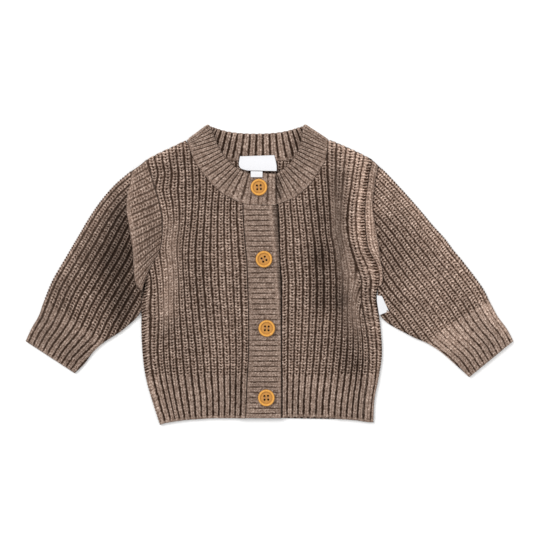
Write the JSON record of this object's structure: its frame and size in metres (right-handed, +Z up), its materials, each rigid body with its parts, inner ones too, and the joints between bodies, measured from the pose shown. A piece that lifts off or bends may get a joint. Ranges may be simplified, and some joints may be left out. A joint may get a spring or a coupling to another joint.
{
  "type": "baby cardigan",
  "caption": "Rib-knit baby cardigan laid flat and buttoned, with long sleeves, a round neckband, a front band with wooden buttons and bare woven labels.",
  "frame": {"origin": "centre of the garment's footprint, on the surface that it lies on", "axes": "+X across the garment towards the wearer's left sleeve, +Y from the hem to the neck, +Z up out of the buttoned fronts"},
  "size_m": [0.5236, 0.3228, 0.012],
  "materials": {
    "knit": "heathered taupe wool-blend yarn, wide soft rib, matt with a light halo",
    "fine_rib": "the same heathered yarn in a fine 1x1 rib, matt",
    "button_wood": "golden turned wood with a lighter rim, satin varnish",
    "woven_label": "white woven satin, slightly glossy"
  },
  "bodies": {
    "root": {"back": "knit", "front_right": "knit", "front_left": "knit", "sleeve_right": "knit", "sleeve_left": "knit", "sleeve_cap_right": "knit", "sleeve_cap_left": "knit", "neckband": "fine_rib", "buttonhole_band": "fine_rib", "button_band": "fine_rib", "button_1": "button_wood", "button_2": "button_wood", "button_3": "button_wood", "button_4": "button_wood", "neck_label": "woven_label", "size_tab": "woven_label", "side_tab": "woven_label"}
  },
  "joints": []
}
